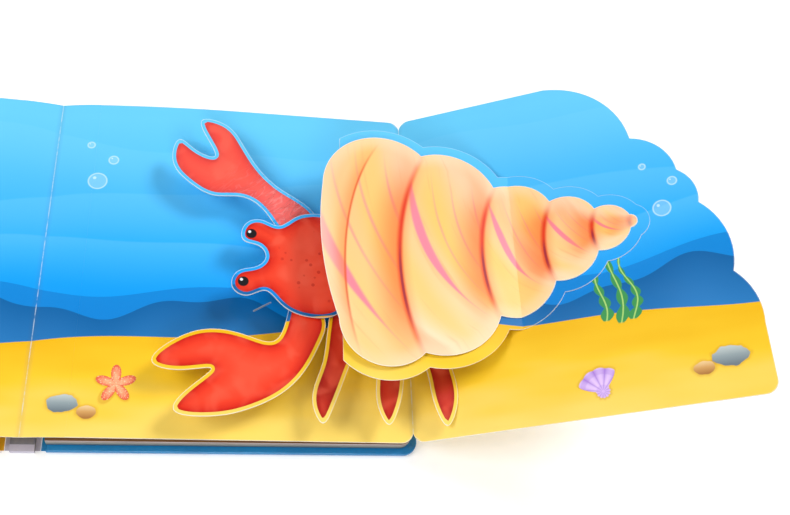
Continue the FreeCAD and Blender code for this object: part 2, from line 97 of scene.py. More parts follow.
camera = bpy.data.objects.new("camera", bpy.data.cameras.new("camera"))
bpy.context.scene.collection.objects.link(camera)
level = Vector((math.cos(CAMERA_AZIMUTH), math.sin(CAMERA_AZIMUTH), 0))
back = Vector((math.sin(CAMERA_AZIMUTH) * math.cos(CAMERA_HEIGHT),
               -math.cos(CAMERA_AZIMUTH) * math.cos(CAMERA_HEIGHT), math.sin(CAMERA_HEIGHT)))
right = Matrix.Rotation(CAMERA_ROLL, 3, back) @ level
camera.matrix_world = Matrix.Translation(CAMERA_PLACE) @ Matrix(
    (right, back.cross(right), back)).transposed().to_4x4()
camera.data.lens = LENS
camera.data.clip_start, camera.data.clip_end = 0.01, 20
bpy.context.scene.camera = camera

# %% [markdown]
# The photograph was taken on white between two soft boxes, one behind the book at the right and
# one at its left, so each raised card has a soft shadow at its lower left and a fainter one at its
# right. They stand where neither the page nor the flap mirrors them. A third, weaker lamp in front
# lights the front edges and draws a streak along the rounded edge of the cover. The world is
# white to look at but shines dimly, because glossy film mirrors it, and a bright one would lay a
# grey veil over the inks. For the same reason the scene is shown with the plain view transform:
# the default one turns pure inks pale.

# %% Floor, world and lamps
FLOOR_WIDTH, FLOOR_DROP = 6.0, 0.05 * MM    # the floor lies a hair under the covers
WORLD_SHINE = 0.28                          # against 1 for what the camera sees of the world
AIM = Vector((0.16, 0, 0.02))               # near the fore edge of the right page

bpy.ops.mesh.primitive_plane_add(size=FLOOR_WIDTH, location=(0, 0, 0))
floor = bpy.context.object
floor.name = "floor"
floor.location.z = -FLOOR_DROP

world = bpy.data.worlds.new("studio")
world.use_nodes = True
sky = world.node_tree.nodes["Background"]
sky.inputs["Color"].default_value = (1, 1, 1, 1)
ray = world.node_tree.nodes.new("ShaderNodeLightPath")
strength = world.node_tree.nodes.new("ShaderNodeMapRange")
strength.inputs["To Min"].default_value = WORLD_SHINE
world.node_tree.links.new(ray.outputs["Is Camera Ray"], strength.inputs["Value"])
world.node_tree.links.new(strength.outputs["Result"], sky.inputs["Strength"])
bpy.context.scene.world = world
bpy.context.scene.view_settings.view_transform = "Standard"


def lamp(name, away, width, power):
    """A square soft box that stands away from the aim, in metres, and is turned to shine at it."""
    light = bpy.data.lights.new(name, "AREA")
    light.size, light.energy = width, power
    thing = bpy.data.objects.new(name, light)
    thing.location = AIM + Vector(away)
    thing.rotation_euler = (-Vector(away)).to_track_quat("-Z", "Y").to_euler()
    bpy.context.scene.collection.objects.link(thing)


lamp("right lamp", (1.58, 1.1, 1.96), 0.9, 42)
lamp("left lamp", (-1.92, -0.1, 1.96), 1.2, 34)
lamp("front lamp", (-0.04, -2.1, 1.56), 1.2, 22)

# %% [markdown]
# Printed pictures are made of sums: how far is this point from a line, a wave or a ring? Shader
# nodes can do sums, but wiring them by hand is slow to write and hard to read. A small class wraps
# a socket and lets Python's own signs add the Math nodes.


# %% Sums on sockets
class Value:
    """A socket that takes part in sums. Each sum adds a Math node to its finish."""

    def __init__(self, finish, socket):
        self.finish, self.socket = finish, socket

    def math(self, operation, *others):
        values = dict(enumerate((self, *others)))
        return self.finish.add("ShaderNodeMath", {"operation": operation}, values)

    def __add__(self, other):
        return self.math("ADD", other)

    def __radd__(self, other):
        return self.math("ADD", other)

    def __sub__(self, other):
        return self.math("SUBTRACT", other)

    def __rsub__(self, other):
        return self.math("MULTIPLY_ADD", -1.0, other)

    def __mul__(self, other):
        return self.math("MULTIPLY", other)

    def __rmul__(self, other):
        return self.math("MULTIPLY", other)

    def __truediv__(self, other):
        return self.math("DIVIDE", other)

    def __pow__(self, other):
        return self.math("POWER", other)

    def __abs__(self):
        return self.math("ABSOLUTE")

    def sine(self):
        return self.math("SINE")

    def least(self, other):
        return self.math("MINIMUM", other)

    def most(self, other):
        return self.math("MAXIMUM", other)


# %% [markdown]
# A finish is one material. One method adds any node: its settings come first, such as the stops of
# a colour ramp, then the values or links of its sockets. The other methods are short names for the
# few nodes that the prints use most.


# %% One class for every finish
def ink(red, green, blue):
    """A printed colour, given as on a screen from 0 to 255, as linear light."""
    def linear(part):
        share = part / 255
        return share / 12.92 if share <= 0.04045 else ((share + 0.055) / 1.055) ** 2.4
    return (linear(red), linear(green), linear(blue), 1.0)


class Finish:
    """A material that is built up by code."""

    def __init__(self, name):
        self.material = bpy.data.materials.new(name)
        self.material.use_nodes = True
        self.tree = self.material.node_tree
        self.tree.nodes.clear()

    def add(self, kind, settings=None, sockets=None, output=0):
        """Adds a node and gives one of its outputs as a value."""
        node = self.tree.nodes.new(kind)
        for name, setting in (settings or {}).items():
            if name == "stops":
                ramp = node.color_ramp
                while len(ramp.elements) < len(setting):
                    ramp.elements.new(1.0)
                for element, (place, colour) in zip(ramp.elements, setting):
                    element.position, element.color = place, colour
            else:
                setattr(node, name, setting)
        for name, value in (sockets or {}).items():
            if isinstance(value, Value):
                self.tree.links.new(value.socket, node.inputs[name])
            else:
                node.inputs[name].default_value = value
        return Value(self, node.outputs[output])

    def rise(self, value, low, high):
        """0 below low, 1 above high, and a smooth step between. It falls where high is lower."""
        return self.add("ShaderNodeMapRange", {"interpolation_type": "SMOOTHSTEP"},
                        {"Value": value, "From Min": low, "From Max": high})

    def ramp(self, value, stops):
        return self.add("ShaderNodeValToRGB", {"stops": stops}, {"Fac": value})

    def over(self, mask, under, top):
        """The colour top laid over the colour under where mask is 1."""
        return self.add("ShaderNodeMix", {"data_type": "RGBA", "clamp_factor": True},
                        {0: mask, 6: under, 7: top}, 2)

    def vector(self, x, y, z=0.0):
        return self.add("ShaderNodeCombineXYZ", None, {0: x, 1: y, 2: z})

    def part(self, vector, axis):
        return self.add("ShaderNodeSeparateXYZ", None, {0: vector}, axis)

    def noise(self, vector, scale, detail=2.0, distortion=0.0):
        return self.add("ShaderNodeTexNoise", None,
                        {"Vector": vector, "Scale": scale, "Detail": detail,
                         "Distortion": distortion})

    def place(self):
        """The point of the surface, in metres, in the frame of the book at rest."""
        return self.add("ShaderNodeTexCoord", None, None, "Object")

    def printed(self):
        """Where a point is printed: along and across the page, and in from the rim, in mm."""
        spot = self.add("ShaderNodeAttribute", {"attribute_name": "print_mm"}, None, "Vector")
        return [self.part(spot, axis) for axis in range(3)]

    def surface(self, colour, roughness, relief=None, depth=0.0, **fixed):
        """The shader. relief is a height from 0 to 1 and depth its size in metres."""
        sockets = {"Base Color": colour, "Roughness": roughness, **fixed}
        if relief is not None:
            sockets["Normal"] = self.add("ShaderNodeBump", None,
                                         {"Strength": 1.0, "Distance": depth, "Height": relief})
        shader = self.add("ShaderNodeBsdfPrincipled", None, sockets)
        output = self.tree.nodes.new("ShaderNodeOutputMaterial")
        self.tree.links.new(shader.socket, output.inputs["Surface"])
        return self.material


# %% [markdown]
# The floor only has to be plain and pale. A trace of grain keeps it from looking like a void, and
# it glows a little, as a light table does, so the book's own shadow stays faint on it. Far from the
# book, where the lamps don't reach, it glows as white as the world.

# %% Floor finish
NEAR_GLOW, FAR_GLOW = (0.2, 0.2, 0.2, 1), (1, 1, 1, 1)
GLOW_START, GLOW_END = 0.8, 2.2             # metres from the spine, where the glow grows

paper_floor = Finish("white floor")
spot = paper_floor.place()
grain = paper_floor.noise(spot, 300.0)
out = (paper_floor.part(spot, 0) ** 2 + paper_floor.part(spot, 1) ** 2) ** 0.5
glow = paper_floor.over(paper_floor.rise(out, GLOW_START, GLOW_END), NEAR_GLOW, FAR_GLOW)
floor.data.materials.append(paper_floor.surface(
    paper_floor.ramp(grain, [(0.3, ink(250, 250, 250)), (0.7, ink(255, 255, 255))]), 0.9,
    **{"Emission Color": glow, "Emission Strength": 1.0}))

# %% [markdown]
# Laminated card has a gloss of its own: a thin clear film that follows the card's slow waves and
# has a fine orange-peel texture. The same two reliefs are added to every print, so they are one
# helper. The waves are wide and low, and only the reflections show them. The ink under the film
# hardly shines by itself, so the base has little specular light and the coat gives the gloss.
# The scale of a noise is how many of its blobs fit in a metre.


# %% The film on every printed card
FILM_RELIEF = 0.9 * MM
ORANGE_PEEL = 0.02                          # height of the fine texture against the waves


def laminate(finish, colour, roughness=0.30, film=0.55, wave=1.0, creases=0.0):
    """Finishes a print with its clear film. wave is how strongly the card's waves show, and
    creases is a relief of the film's own."""
    place = finish.place()
    slow = finish.noise(place, 38.0, 1.0)
    fine = finish.noise(place, 900.0, 2.0)
    relief = slow * wave + fine * ORANGE_PEEL + creases
    smear = finish.noise(place, 60.0, 3.0)
    return finish.surface(colour, roughness + smear * 0.08, relief, FILM_RELIEF,
                          **{"Coat Weight": film, "Coat Roughness": 0.16, "IOR": 1.46,
                             "Specular IOR Level": 0.2})


# %% [markdown]
# Behind everything lies the sea: water that is pale at the top and deep blue below, sheets of light
# with a crisp upper edge that fade downwards, dark hills and yellow sand. Each field is bounded by
# a wave, a sum of two sines of the distance along the page, and it is cheap enough to be printed on
# the margins of the raised cards too.

# %% Water, light, hills and sand
LIGHT_SHEETS = ((70, 7, 46, 0.4, 34), (38, 9, 61, 2.2, 42), (6, 6, 52, 4.4, 30))
# each sheet of light: height, swing and length of its wave, where it starts, and how far it fades
HILL_LINE, FAR_HILL_LINE, SAND_LINE = (-26, 6, 19, 0.3), (-15, 5, 37, 2.6), (-41, 6, 58, 2.0)
SOFT_EDGE = 0.25                            # millimetres over which two inks meet

DEEP, MIDDLE, PALE = ink(0, 142, 234), ink(0, 168, 250), ink(104, 206, 250)
SHEET_LIGHT, SHEET_COVER = ink(120, 212, 255), 0.23
EDGE = PAGE_HALF / MM                       # the print's front and back edges, in millimetres


def wave(along, height, swing, length, start):
    """The height of a printed wave over a place along the page. A shorter and lower wave rides
    on the long one, so no two crests look the same."""
    slow = (along * (1 / length) + start).sine() * swing
    return slow + (along * (2.7 / length) + 1.3 * start).sine() * (0.35 * swing) + height


def sea(finish, along, across):
    """The colour of the background at a place on the spread."""
    water = finish.ramp(finish.rise(across, -EDGE, EDGE) * 0.35
                        + (across + EDGE) * (0.65 / (2 * EDGE)),
                        [(0.22, DEEP), (0.52, MIDDLE), (0.97, PALE)])
    for height, swing, length, start, fade in LIGHT_SHEETS:
        below = wave(along, height, swing, length, start) - across
        mask = finish.rise(below, 0, 1.2) * finish.rise(below, fade, 0) * SHEET_COVER
        water = finish.over(mask, water, SHEET_LIGHT)
    far = wave(along, *FAR_HILL_LINE) - across
    colour = finish.over(finish.rise(far, -SOFT_EDGE, SOFT_EDGE) * 0.6, water, ink(0, 116, 196))
    near = wave(along, *HILL_LINE) - across
    hills = finish.ramp(near * (1 / 26), [(0.0, ink(0, 98, 164)), (1.0, ink(40, 124, 192))])
    colour = finish.over(finish.rise(near, -SOFT_EDGE, SOFT_EDGE), colour, hills)
    depth = wave(along, *SAND_LINE) - across
    dunes = finish.noise(finish.vector(along * 0.012, across * 0.05), 1.6, 1.0)
    sand = finish.ramp(depth * (1 / 70) + dunes * 0.5,
                       [(0.15, ink(240, 182, 4)), (0.55, ink(250, 203, 40)),
                        (0.95, ink(252, 218, 104))])
    return finish.over(finish.rise(depth, -SOFT_EDGE, SOFT_EDGE), colour, sand)


# %% [markdown]
# Small things live in that sea, and each is one short function of the place: a ring for a bubble, a
# flower curve for a starfish, a fan for a scallop, a swaying ribbon for kelp and ellipses for
# pebbles. Every function takes the picture so far and gives it back with its thing printed on top.


# %% Bubbles, starfish, scallops, kelp and pebbles
def polar(finish, along, across, middle, turn=0.0):
    """How far a place lies from a middle, and in which direction."""
    dx, dy = along - middle[0], across - middle[1]
    far = (dx * dx + dy * dy) ** 0.5
    return far, dy.math("ARCTAN2", dx) - turn


def bubble(finish, spot, colour, middle, radius):
    """A thin ring with a faint fill and a glint at its upper left."""
    far, _ = polar(finish, *spot, middle)
    ring = finish.rise(abs(far - radius), 0.55, 0.15)
    inside = finish.rise(far, radius, radius - 0.4) * 0.22
    shine, _ = polar(finish, *spot, (middle[0] - radius * 0.35, middle[1] + radius * 0.4))
    glint = finish.rise(shine, radius * 0.28, radius * 0.12)
    mask = (ring * 0.62 + inside).most(glint * 0.85)
    return finish.over(mask, colour, ink(205, 240, 255))


def starfish(finish, spot, colour, middle, radius, turn):
    """Five arms, speckled, with a soft shadow on the sand."""
    far, angle = polar(finish, *spot, middle, turn)
    arm = abs((angle * 2.5).math("COSINE")) ** 1.5 * (0.62 * radius) + 0.38 * radius
    inside = arm - far
    skin = finish.ramp(inside * (1 / (0.5 * radius)),
                       [(0.0, ink(222, 84, 60)), (0.35, ink(250, 128, 92)),
                        (1.0, ink(255, 172, 128))])
    speckle = finish.noise(finish.vector(*spot), 1.4, 1.0)
    skin = finish.over(finish.rise(speckle, 0.58, 0.64) * 0.7, skin, ink(255, 222, 180))
    shade, _ = polar(finish, *spot, (middle[0] - 1.0, middle[1] - 1.6))
    colour = finish.over(finish.rise(arm - shade, -1.2, 0.6) * 0.35, colour, ink(190, 120, 0))
    return finish.over(finish.rise(inside, -SOFT_EDGE, SOFT_EDGE), colour, skin)


def scallop(finish, spot, colour, middle, radius, turn, pale, dark):
    """A fan with ribs and growth bands."""
    far, angle = polar(finish, *spot, middle, turn)
    reach = finish.rise(abs(angle), 1.25, 0.9) * (0.75 * radius) + 0.25 * radius
    reach = reach + abs((angle * 6.0).sine()) * (0.05 * radius)
    inside = reach - far
    ribs = abs((angle * 6.0).sine()) ** 0.6
    skin = finish.over(ribs * 0.8 + finish.rise(far, radius, 0.2 * radius) * 0.2, dark, pale)
    bands = finish.rise((far * (9 / radius)).sine(), 0.2, 0.8) * 0.3
    skin = finish.over(bands, skin, dark)
    colour = finish.over(finish.rise(inside, -1.8, -0.2) * 0.3, colour, ink(170, 105, 10))
    return finish.over(finish.rise(inside, -SOFT_EDGE, SOFT_EDGE), colour, skin)


def kelp(finish, spot, colour, foot, height, lean):
    """A swaying ribbon with leaves that swell and narrow up to its tip."""
    along, across = spot
    up = (across - foot[1]) * (1 / height)
    sway = (up * 7.0 + lean).sine() * 2.6 + up * (lean * 4.0) + foot[0]
    leaves = abs((up * 21.0).sine()) * 2.0 + 1.3
    inside = leaves * (1.05 - up) - abs(along - sway)
    mask = (finish.rise(inside, -SOFT_EDGE, SOFT_EDGE) * finish.rise(up, -0.01, 0.01)
            * finish.rise(up, 1.0, 0.98))
    rib = finish.rise(abs(along - sway), 0.5, 0.2)
    skin = finish.over(rib, ink(64, 150, 84), ink(170, 214, 120))
    return finish.over(mask, colour, skin)


def pebble(finish, spot, colour, middle, radius, flat, tone):
    """A lumpy ellipse, light above. flat is its height against its width."""
    dx, dy = spot[0] - middle[0], (spot[1] - middle[1]) * (1 / flat)
    far = (dx * dx + dy * dy) ** 0.5
    lump = finish.noise(finish.vector(*spot), 0.22, 1.0)
    inside = radius - far + (lump - 0.5) * (0.5 * radius)
    lit = (dy + radius) * (0.5 / radius)
    skin = finish.ramp(lit, [(0.1, tone[0]), (0.55, tone[1]), (0.95, tone[2])])
    colour = finish.over(finish.rise(inside, -2.2, 0.0) * 0.3, colour, ink(180, 110, 10))
    return finish.over(finish.rise(inside, -SOFT_EDGE, SOFT_EDGE), colour, skin)


# %% [markdown]
# The whole spread is one printed sheet, so all its pieces share one finish. The folds get what a
# printer can't avoid: the ink cracks a little along a crease and a thin pale line shows. Beside it
# a trace of grey is painted shade, standing for the shade in the crease's valley.

# %% The printed spread
GREY = (ink(112, 126, 134), ink(150, 164, 168), ink(192, 202, 200))
SANDSTONE = (ink(176, 120, 62), ink(214, 162, 96), ink(240, 204, 148))
RIM_LINE = 0.4, 0.15                        # millimetres from a cut edge, where its white fades
BUBBLES = ((-158, 44, 4.6), (-151, 57, 2.4), (-163, 66, 1.8), (-38, 50, 3.2), (-28, 66, 2.0),
           (44, 30, 3.6), (132, 8, 4.2), (139, 22, 2.2), (126, 33, 1.6), (-262, 40, 5.0),
           (-250, 62, 2.8), (-216, 10, 3.4))
# a bubble has a place along and across the page and a radius, a kelp a foot, a height and a lean,
# a pebble a middle, a radius, a flatness and its tones, a starfish a middle, a radius and a turn
KELP = (((96, -46), 44, 0.9), ((104, -48), 58, 0.3), ((112, -47), 38, -0.6),
        ((-286, -50), 66, 0.5), ((-276, -52), 48, -0.4))
PEBBLES = (((-163, -76), 7, 0.62, GREY), ((-152, -80), 4.4, 0.7, SANDSTONE),
           ((150, -72), 8, 0.6, GREY), ((138, -76), 4.6, 0.7, SANDSTONE),
           ((-300, -72), 11, 0.6, GREY))
STARFISH = (((-140, -66), 9.5, 0.35), ((-232, -70), 11, 0.9))


def cracked_and_shaded(finish, colour, along, fold):
    """Prints the pale line of a crease at a place along the page, with painted shade beside it."""
    crumbs = finish.noise(finish.place(), 260.0, 3.0)
    # painted shade: a faint grey on both sides of the crease, where its valley lies in shade
    crease_shade = finish.rise(abs(along - fold), 2.6, 0.2) * 0.14
    colour = finish.over(crease_shade, colour, ink(70, 96, 120))
    line = finish.rise(abs(along - fold), 0.34, 0.08) * finish.rise(crumbs, 0.3, 0.62)
    return finish.over(line * 0.5, colour, ink(222, 238, 244))


spread = Finish("printed spread")
along, across, rim = spread.printed()
spot = along, across
picture = sea(spread, along, across)
for x, y, size in BUBBLES:
    picture = bubble(spread, spot, picture, (x, y), size)
for foot, height, lean in KELP:
    picture = kelp(spread, spot, picture, foot, height, lean)
for middle, size, flat, tone in PEBBLES:
    picture = pebble(spread, spot, picture, middle, size, flat, tone)
for middle, size, turn in STARFISH:
    picture = starfish(spread, spot, picture, middle, size, turn)
picture = scallop(spread, spot, picture, (92, -80), 11, 1.9, ink(236, 206, 255),
                  ink(160, 112, 214))
for fold in (-FOLD.x / MM, 0.0):            # the gutter and the flap's fold
    picture = cracked_and_shaded(spread, picture, along, fold)
picture = spread.over(spread.rise(rim, *RIM_LINE) * 0.4, picture, ink(240, 240, 232))
spread_print = laminate(spread, picture)
print("the spread's print has", len(spread.tree.nodes), "nodes")

# %% [markdown]
# Card shows its white core wherever a knife went through it, and on the back of the raised pieces.
# Greyboard is the same thing in a cheaper stock, and the plain strips that hold up the raised
# cards are never printed. Fibres are a fine noise with a little distortion.


# %% Plain card, cut edges and greyboard
def stock(name, dark, light, roughness=0.75, fibre=1.0):
    """Unprinted card or board."""
    finish = Finish(name)
    place = finish.place()
    fibres = finish.noise(place, 420.0, 4.0, 0.6)
    cloud = finish.noise(place, 55.0, 2.0)
    colour = finish.ramp(fibres * 0.6 + cloud * 0.4, [(0.32, dark), (0.66, light)])
    return finish.surface(colour, roughness + fibres * 0.12, fibres, 0.12 * fibre * MM)


cut_edge = stock("cut edge of card", ink(222, 216, 202), ink(250, 247, 238))
card_back = stock("unprinted back of card", ink(228, 225, 217), ink(248, 246, 240))
strip_card = stock("plain strip card", ink(232, 229, 222), ink(250, 248, 243))
greyboard = stock("greyboard", ink(126, 119, 108), ink(164, 156, 142), 0.85, 2.0)

# %% [markdown]
# The raised cards need to know how far each point lies from the card's rim, for the margin that
# the cutter leaves round the picture. The model's mesh has only the outline's own points, so a copy
# is cut into a fine grid with `bisect_plane`, and the distance to the nearest side wall is measured
# at each point and kept as an attribute. The print reads it back as millimetres. A grid is also
# what a flat sheet needs before it can sag.


# %% Copies of the cards that can carry a print
WELD = 0.002 * MM
LEAN_LIMIT = 0.6                            # a face whose normal is less upright is a side wall
SEAM_GAP = 0.1 * MM                         # a side wall nearer to the seam than this is the seam's
SHARP = math.radians(25)                    # edges that turn more than this stay sharp
NO_RIM = 99.0                               # distance kept where a piece has no rim


def grid_cuts(form, low, high, spacing):
    """Cuts a mesh with upright planes along x and y."""
    for axis, normal in ((0, (1, 0, 0)), (1, (0, 1, 0))):
        count = max(1, round((high[axis] - low[axis]) / spacing))
        for number in range(1, count):
            spot = low.copy()
            spot[axis] += number * (high[axis] - low[axis]) / count
            everything = form.verts[:] + form.edges[:] + form.faces[:]
            bmesh.ops.bisect_plane(form, geom=everything, plane_co=spot, plane_no=normal)


def keep_print(thing, walls, where):
    """Keeps the printed place of each vertex: along and across the page, and in from the rim.
    walls are the vertices and faces of the side walls."""
    nearest = BVHTree.FromPolygons(*walls) if walls else None
    marks = thing.data.attributes.new("print_mm", "FLOAT_VECTOR", "POINT")
    for vertex, mark in zip(thing.data.vertices, marks.data):
        gap = nearest.find_nearest(vertex.co)[3] / MM if nearest else NO_RIM
        mark.vector = (*where(vertex.co), gap)


def gridded(node, spacing):
    """A copy of a node's mesh with a grid of edges, as a bmesh."""
    form = bmesh.new()
    form.from_mesh(NODES[node].data)
    bmesh.ops.remove_doubles(form, verts=form.verts, dist=WELD)
    grid_cuts(form, *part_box(node), spacing * MM)
    form.normal_update()
    return form


def new_piece(name, form):
    """Turns a bmesh into an object."""
    thing = bpy.data.objects.new(name, bpy.data.meshes.new(name))
    form.to_mesh(thing.data)
    form.free()
    return thing


def stand_in(thing, node, body, finishes):
    """Shows a finished mesh in place of a node, on its body if it has one."""
    for finish in finishes:
        thing.data.materials.append(finish)
    bpy.context.scene.collection.objects.link(thing)
    thing.data.polygons.foreach_set("use_smooth", [True] * len(thing.data.polygons))
    thing.data.set_sharp_from_angle(angle=SHARP)
    if body:
        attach(thing, body)
    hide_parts(node)
    print(thing.name, len(thing.data.polygons), "faces")


def dress_card(node, body, top, where, spacing, under=card_back, droop=None):
    """Replaces a card of the frame by a copy with a print on top and white cut edges. droop says
    how far a page hangs down at each point, and the side where such a page goes on into the bend
    over the gutter is no cut edge."""
    form = gridded(node, spacing)
    for face in form.faces:
        face.material_index = 0 if face.normal.z > LEAN_LIMIT else 1
        joined = abs(abs(face.calc_center_median().x) - SEAM) < SEAM_GAP
        if face.normal.z < -LEAN_LIMIT or joined and droop and face.material_index:
            face.material_index = 2
    form.verts.index_update()
    walls = ([v.co.copy() for v in form.verts],
             [[v.index for v in face.verts] for face in form.faces if face.material_index == 1])
    thing = new_piece("printed_" + node, form)
    keep_print(thing, walls, where)
    if droop:
        for vertex in thing.data.vertices:
            vertex.co.z -= droop(vertex.co)
    stand_in(thing, node, body, (top, cut_edge, under))


# %% [markdown]
# The open spread isn't quite flat. It is glued only along a band near the fold, so towards the
# gutter its back corner sags into the hollow between the two stacks of leaves. The sag is a smooth
# function of the place, and every piece of the sheet uses the same one, so they still meet.

# %% The pages of the open spread
SAG, SAG_REACH = 5.4 * MM, 93 * MM          # at the back of the crease, and how far it reaches
PAGE_GRID = 4.0                             # millimetres between the cuts of the grid


def sag(point):
    """How far the sheet hangs under its plane."""
    share = max(0.0, 1 - abs(point.x) / SAG_REACH)
    toward_back = min(1.0, max(0.0, (point.y + PAGE_HALF) / (2 * PAGE_HALF)))
    return SAG * share ** 2 * toward_back ** 1.6


def on_spread(point):
    """The printed place of a point of the sheet, with the flap unfolded."""
    if point.x > FOLD.x:
        seen = in_page(point)
        return seen.x / math.cos(FLAP_RISE), seen.y
    return (point.x - FOLD.x) / MM, point.y / MM


for node, body in (("right_page_and_flap", "back_half"), ("left_page_sheet", "front_half")):
    dress_card(node, body, spread_print, on_spread, PAGE_GRID, spread_print, sag)

# %% [markdown]
# Over the gutter the sheet really bends when the book closes, so this stretch is rebuilt as two
# halves that meet at the crease. Each starts as a flat grid, is lowered to the sheet's own curve
# and gets its thickness from `solidify`.

# %% The bend over the gutter
VALLEY = 1.2 * MM                           # how far the crease lies under the plane of the pages
BEND_CUTS = 24                              # cells across one half, and twice as many along it


def bend_level(point):
    """The top of the sheet between the seams."""
    page = FOLD.z + (FOLD.x - abs(point.x)) * math.tan(FALL)
    return page - VALLEY * (1 - abs(point.x) / SEAM) ** 2 - sag(point)


def gutter_half(name, side):
    """One half of the bend, between the seam of a page and the crease."""
    form = bmesh.new()
    bmesh.ops.create_grid(form, x_segments=BEND_CUTS, y_segments=2 * BEND_CUTS, size=0.5)
    middle = Vector((side * SEAM / 2, 0, 0))
    bmesh.ops.scale(form, vec=(SEAM, 2 * PAGE_HALF, 1), verts=form.verts)
    bmesh.ops.translate(form, vec=middle, verts=form.verts)
    for vertex in form.verts:
        vertex.co.z = bend_level(vertex.co)
    bmesh.ops.solidify(form, geom=form.faces[:], thickness=SHEET)
    bmesh.ops.recalc_face_normals(form, faces=form.faces)
    for face in form.faces:
        face.material_index = 1 if abs(face.normal.z) < LEAN_LIMIT else 0
    thing = new_piece(name, form)
    keep_print(thing, None, on_spread)
    stand_in(thing, "gutter_bend", None, (spread_print, cut_edge))
    if side > 0:
        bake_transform(thing)
    else:
        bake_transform(thing)


gutter_half("gutter_bend_right", 1)
gutter_half("gutter_bend_left", -1)

# %% [markdown]
# The shell is a spiral seen from the side: five turns, each 0.76 of the one before. Counting turns
# along the axis is a logarithm, because the lengths form a geometric series, and the count's
# fraction says where a point lies within its turn. Peach fills the turns and pales towards the
# rim, an orange glow lies before each groove as if the turn rolled away there, and a few pink
# streaks cross each turn at a slant. The mouth has a rolled lip with a groove of its own.

# %% The shell's print
TURN_RATIO, TURNS, SHELL_LENGTH, SHELL_HALF = 0.76, 5, 156.0, 78.0     # half the mouth's height
FIRST_TURN = SHELL_LENGTH * (1 - TURN_RATIO) / (1 - TURN_RATIO ** TURNS)
MOUTH, AXIS_OFFSET, AXIS_TURN = 97.5, -7.0, math.radians(4.0)      # the mouth, from the crease
GROOVE_LEAN, GROOVE_BOW, TAPER = 0.10, 0.20, 0.955
THINNEST = 0.03                             # the cone is never thinner than this share of its mouth
STREAK_SLANT = 0.55
STREAKS = ((0.36, 0.055, 0.75), (0.62, 0.010, 0.45), (0.86, 0.014, 0.5), (1.16, 0.022, 0.6))
# each streak: its place in a turn, half its thickness and how strongly it is printed
LIP_PLACE, LIP_LEAN, LIP_BOW = 11.0, 0.12, 16.0    # millimetres in from the mouth, lean and bow

shell = Finish("printed shell")
along, across, rim = shell.printed()
from_mouth, from_axis = along - (SHELL_CREASE - MOUTH), across - AXIS_OFFSET
x = from_mouth * math.cos(AXIS_TURN) + from_axis * math.sin(AXIS_TURN)
y = from_axis * math.cos(AXIS_TURN) - from_mouth * math.sin(AXIS_TURN)
half = (1.0 - x * (TAPER / SHELL_LENGTH)).most(THINNEST) * SHELL_HALF
high = y / half
bowed = x - y * GROOVE_LEAN + (1.0 - high * high).most(0.0) * half * GROOVE_BOW
left = (1.0 - bowed * ((1 - TURN_RATIO) / FIRST_TURN)).most(0.02)
count = left.math("LOGARITHM", TURN_RATIO)
turn = count.math("FRACT")
number = count.math("FLOOR")
width = left * FIRST_TURN
body_tone = shell.ramp(high * 0.5 + 0.5 + (turn - 0.5) * 0.25,
                       [(0.0, ink(255, 224, 184)), (0.3, ink(254, 210, 150)),
                        (0.7, ink(254, 196, 134)), (1.0, ink(254, 204, 162))])
slant = turn + high * STREAK_SLANT
bands = shell.noise(shell.vector(slant * 1.7 + number * 7.3, high * 0.35, number * 2.0), 1.0, 1.0)
tone = shell.over(shell.rise(bands, 0.4, 0.7) * 0.75, body_tone, ink(253, 202, 96))
tone = shell.over(shell.rise(bands, 0.42, 0.28) * 0.5, tone, ink(255, 168, 120))
brush = shell.noise(shell.vector(slant * 14.0 + number * 3.1, high * 1.2, number), 1.0, 2.0)
tone = shell.over(shell.rise(brush, 0.55, 0.8) * 0.35, tone, ink(250, 150, 100))
sway = (high * 2.4 + number * 1.7).sine() * 0.05
for place_in_turn, thick, cover in STREAKS:
    far = abs(slant - place_in_turn + sway)
    taper = shell.rise(abs(high - 0.1), 0.85, 0.1) * thick
    streak = shell.rise(far - taper, 0.018, -0.018) * shell.rise(abs(high), 1.0, 0.55)
    tone = shell.over(streak * cover, tone, ink(255, 102, 160))
after = turn * width
before = (1.0 - turn) * width * TURN_RATIO
centre = shell.rise(abs(high), 1.05, 0.4)
shade = shell.rise(before, 12, 0) * 0.85 + shell.rise(after, 5, 0) * 0.5
tone = shell.over(shade.least(1.0) * (centre * 0.8 + 0.2), tone, ink(250, 128, 62))
groove = shell.rise(after.least(before), 1.7, 0.0)
tone = shell.over(groove * (centre * 0.75 + 0.25), tone, ink(226, 58, 24))
deepest = shell.rise(after.least(before), 0.6, 0.2) * shell.rise(abs(high + 0.3), 0.45, 0.1)
tone = shell.over(deepest * shell.rise(width, 9, 16) * 0.6, tone, ink(96, 34, 70))
from_lip = x - y * LIP_LEAN - LIP_PLACE - high * high * LIP_BOW
lip_shade = shell.rise(from_lip, -8, 0) * shell.rise(from_lip, 0.5, 0.0) * 0.6
lip_reach = shell.rise(abs(high - 0.1), 0.95, 0.45)
tone = shell.over(lip_shade * lip_reach, tone, ink(246, 140, 70))
tone = shell.over(shell.rise(abs(from_lip), 1.0, 0.1) * lip_reach * 0.75, tone, ink(226, 84, 40))
tone = shell.over(shell.rise(rim, 9.0, 0.5) * 0.45, tone, ink(255, 228, 190))
tone = shell.over(shell.rise(rim, *RIM_LINE) * 0.6, tone, ink(255, 250, 240))
shell_print = laminate(shell, tone, 0.36, 0.35, 0.7)
print("the shell's print has", len(shell.tree.nodes), "nodes")
